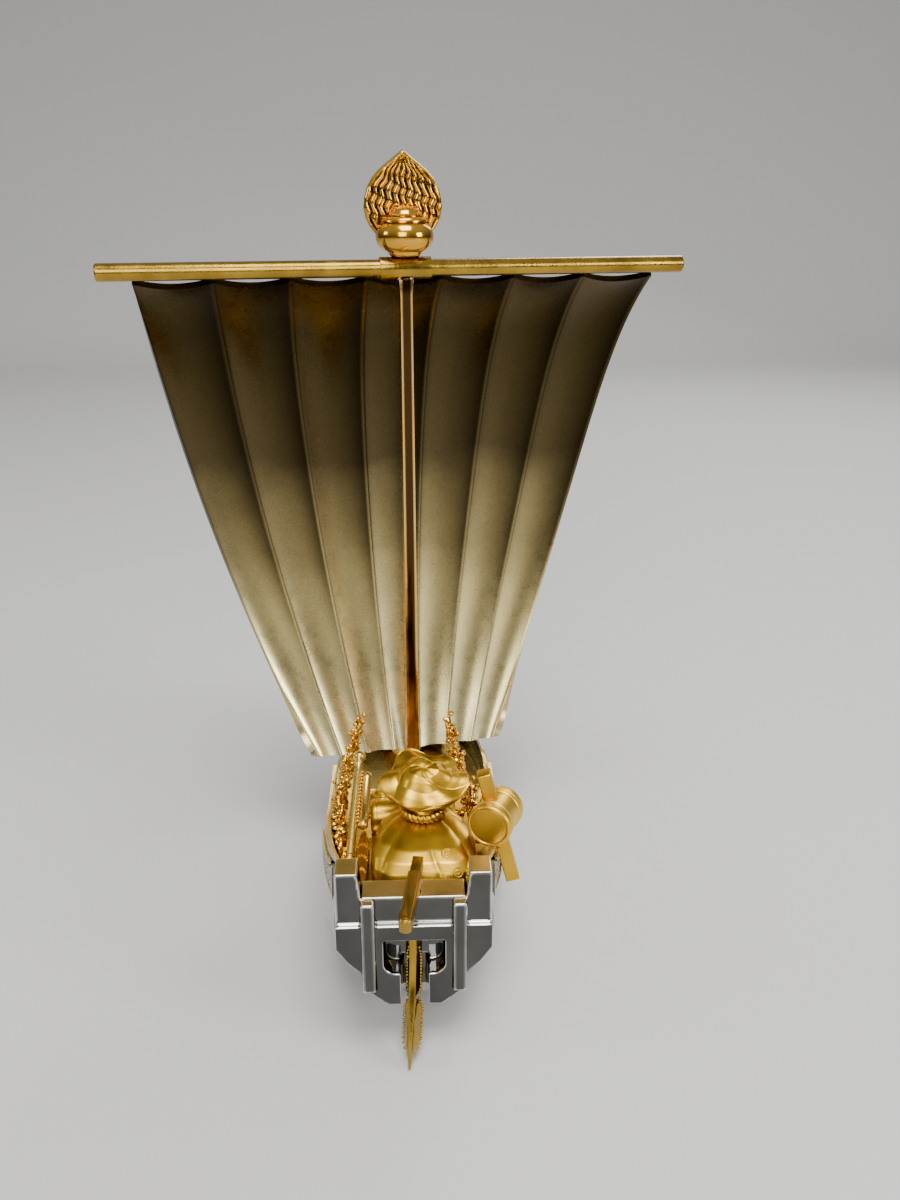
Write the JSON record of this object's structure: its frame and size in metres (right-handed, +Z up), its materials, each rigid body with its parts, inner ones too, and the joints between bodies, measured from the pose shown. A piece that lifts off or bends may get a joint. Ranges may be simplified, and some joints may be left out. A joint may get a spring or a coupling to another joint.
{
  "type": "treasure ship table ornament",
  "caption": "Free-standing cast treasure-ship ornament: hull laden with cargo, tall bellied sail on a turning mast, steering rudder with tiller.",
  "frame": {"origin": "on the table plane under the keel, on the mast axis", "axes": "+Y to the bow, +X to starboard, +Z up along the mast"},
  "size_m": [0.1452, 0.1595, 0.2],
  "materials": {
    "silver_plate": "mirror silver plating over cast metal",
    "rim_gold": "satin pale gold plating",
    "sail_gold": "satin champagne gold plating, fine cast grain",
    "yard_gold": "satin greenish gold plating",
    "mast_gold": "polished orange gold plating",
    "cargo_gold": "satin warm gold plating",
    "pale_gold": "satin pale gold plating",
    "steel": "plain zinc-plated steel"
  },
  "bodies": {
    "hull": {"hull_port_half": "silver_plate", "hull_starboard_half": "silver_plate", "keel_plank": "silver_plate", "stem_post": "silver_plate", "transom": "silver_plate", "port_bulwark": "silver_plate", "starboard_bulwark": "silver_plate", "port_relief": "silver_plate", "starboard_relief": "silver_plate", "bulkhead": "silver_plate", "cross_beam": "rim_gold", "deck_plate": "rim_gold", "cargo_deck": "rim_gold", "mast_step": "rim_gold", "sack_body": "cargo_gold", "sack_ruffle": "cargo_gold", "neck_cord": "cargo_gold", "brocade_roll": "cargo_gold", "roller_rod": "cargo_gold", "mallet_barrel": "cargo_gold", "mallet_handle": "cargo_gold", "straw_raincoat": "cargo_gold", "straw_hat": "cargo_gold", "rice_bales": "cargo_gold", "bale_ropes": "cargo_gold", "knobbed_staff": "pale_gold", "scroll": "pale_gold", "coral_port": "mast_gold", "coral_starboard": "mast_gold", "deck_screws": "steel"},
    "rig": {"mast": "mast_gold", "yard": "yard_gold", "sail": "sail_gold", "finial_pot": "mast_gold", "flame_halo": "mast_gold"},
    "rudder": {"rudder_blade": "mast_gold", "rudder_stock": "mast_gold", "tiller": "cargo_gold", "tiller_pin": "cargo_gold"}
  },
  "joints": [
    {"name": "sail_swivel", "type": "hinge", "parent": "hull", "child": "rig", "pos_m": [0, 0, 0.023], "axis": [0, 0, 1], "range_deg": [-30.5, 9.5]},
    {"name": "rudder_swing", "type": "hinge", "parent": "hull", "child": "rudder", "pos_m": [0, -0.073, 0.036], "axis": [0, 0, 1], "range_deg": [-8, 23]}
  ]
}
